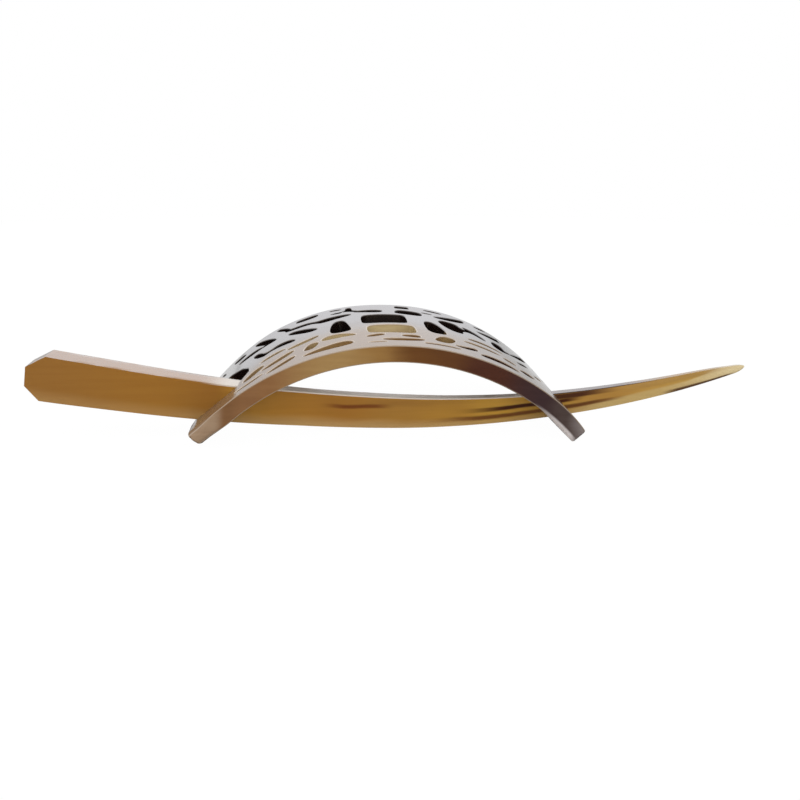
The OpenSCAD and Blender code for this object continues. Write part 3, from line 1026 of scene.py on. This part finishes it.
# %% The stick's top and polish
TOP_FROM, TOP_FULL = 0.955, 0.975
TOP_PAINTED_HIGHLIGHT, DARK_TOP = (0.95, 0.86, 0.76), (0.1, 0.06, 0.045)
STICK_FIBRES = (0.7, 0.6, 0.5)

top = ease(tree, level, TOP_FROM, TOP_FULL)
under_arch = calculate(tree, "MULTIPLY", ease(tree, along, -46.0, -38.0), ease(tree, along, 40.0, 37.0))
past_arch = calculate(tree, "MULTIPLY", ease(tree, along, 38.0, 41.0), ease(tree, along, 74.0, 56.0))
matt_top_painted_highlight = calculate(tree, "MULTIPLY", top, under_arch)
# Painted highlight on the top of the stick under the arch.
topped = mix_colours(tree, matt_top_painted_highlight, streaked, TOP_PAINTED_HIGHLIGHT)
topped = mix_colours(tree, calculate(tree, "MULTIPLY", top, past_arch), topped, DARK_TOP)
fibre_part = calculate(tree, "MULTIPLY", horn["Fibre"], 0.2)
fibred = mix_colours(tree, fibre_part, topped, STICK_FIBRES, "MULTIPLY")
polish(stick, stick_material, fibred, horn, 0.05, matt_top_painted_highlight, 0.9)

# %% [markdown]
# ## Studio
#
# The photograph has a plain white ground. The floor is a round white sheet, and the kind of ray that meets it
# decides what it is. The camera sees it as pure white with a hint of the slide's shadow. Light that is
# scattered from it onto the horn is that of a real white sheet. A mirror image of it in the polish is dimmer
# in front and far to the left and right, where a real studio has dark surroundings.

# %% The floor
FLOOR_RADIUS = 0.6
FLOOR_SIDES = 96
SHEET_WHITE = (0.8, 0.8, 0.8, 1)
SHADOW_HINT = (0.03, 0.03, 0.03, 1)
SHEET_GLOW = 0.985

floor_bmesh = bmesh.new()
bmesh.ops.create_circle(floor_bmesh, cap_ends=True, segments=FLOOR_SIDES, radius=FLOOR_RADIUS)
floor_mesh = bpy.data.meshes.new("floor")
floor_bmesh.to_mesh(floor_mesh)
floor_bmesh.free()
floor = bpy.data.objects.new("floor", floor_mesh)
bpy.context.scene.collection.objects.link(floor)
floor_material, tree = new_material("white sheet")
tree.nodes.clear()
path = place_node(tree, "LightPath").outputs
white = place_node(tree, "BsdfDiffuse", {"Color": SHEET_WHITE}).outputs[0]
sheet_place = place_node(tree, "SeparateXYZ", {0: place_node(tree, "TexCoord").outputs["Object"]}).outputs
far_right = ease(tree, sheet_place["X"], 0.03, 0.08, 1.0, 0.7)
far_left = ease(tree, sheet_place["X"], -0.09, -0.14, 1.0, 0.6)
behind = ease(tree, sheet_place["Y"], -0.02, 0.04, 0.05, 0.78)
mirrored = calculate(tree, "MULTIPLY", behind, calculate(tree, "MULTIPLY", far_left, far_right))
dim = place_node(tree, "Emission", {"Color": (1, 1, 1, 1), "Strength": mirrored}).outputs[0]
ground = place_node(tree, "MixShader", {0: path["Is Glossy Ray"], 1: white, 2: dim}).outputs[0]
shade = place_node(tree, "BsdfDiffuse", {"Color": SHADOW_HINT}).outputs[0]
glow = place_node(tree, "Emission", {"Color": (1, 1, 1, 1), "Strength": SHEET_GLOW}).outputs[0]
paper = place_node(tree, "AddShader", {0: shade, 1: glow}).outputs[0]
shown = place_node(tree, "MixShader", {0: path["Is Camera Ray"], 1: ground, 2: paper}).outputs[0]
place_node(tree, "OutputMaterial", {"Surface": shown})
floor.data.materials.append(floor_material)
print("floor:", round(2 * FLOOR_RADIUS, 2), "m across")

# %% [markdown]
# The world is a soft sky in three parts, again by the kind of ray. Light on the horn comes mostly from the
# front. The polish mirrors a bright backdrop behind the slide, a little dimmer to the right, and a dark room
# towards the camera, so the top of the horn gleams while its front keeps a full colour. The camera itself
# sees white.

# %% The studio light
FRONT_LIGHT, BACK_LIGHT = (1.15, 1.15, 1.15), (0.4, 0.4, 0.4)
LOW_SKY, MIDDLE_SKY, HIGH_SKY = (0.78, 0.78, 0.8), (1.03, 1.02, 1.05), (0.9, 0.9, 0.9)
DARK_ROOM = (0.12, 0.12, 0.12)

world = bpy.data.worlds.new("studio")
bpy.context.scene.world = world
world.use_nodes = True
tree = world.node_tree
tree.nodes.clear()
direction = place_node(tree, "SeparateXYZ", {0: place_node(tree, "TexCoord").outputs["Generated"]}).outputs
path = place_node(tree, "LightPath").outputs
scattered = mix_colours(tree, ease(tree, direction["Y"], -0.3, 0.4), FRONT_LIGHT, BACK_LIGHT)
low_sky = mix_colours(tree, ease(tree, direction["Z"], 0.0, 0.25), LOW_SKY, MIDDLE_SKY)
backdrop = mix_colours(tree, ease(tree, direction["Z"], 0.35, 0.9), low_sky, HIGH_SKY)
dimmer_right = ease(tree, direction["X"], 0.15, 0.4, 0.0, 0.15)
backdrop = mix_colours(tree, dimmer_right, backdrop, (0.0, 0.0, 0.0))
mirrored = mix_colours(tree, ease(tree, direction["Y"], -0.35, 0.2), DARK_ROOM, backdrop)
light = mix_colours(tree, path["Is Glossy Ray"], scattered, mirrored)
sky = mix_colours(tree, path["Is Camera Ray"], light, (1.0, 1.0, 1.0))
place_node(tree, "OutputWorld", {0: place_node(tree, "Background", {"Color": sky}).outputs[0]})
print("world:", world.name, len(tree.nodes), "nodes")

# %% [markdown]
# Blender's usual view transform bends colours like film does. The Standard one shows them as they are, so
# white stays white.

# %% The view of colours
view = bpy.context.scene.view_settings
view.view_transform = "Standard"
view.look = "None"
print("view transform:", view.view_transform)
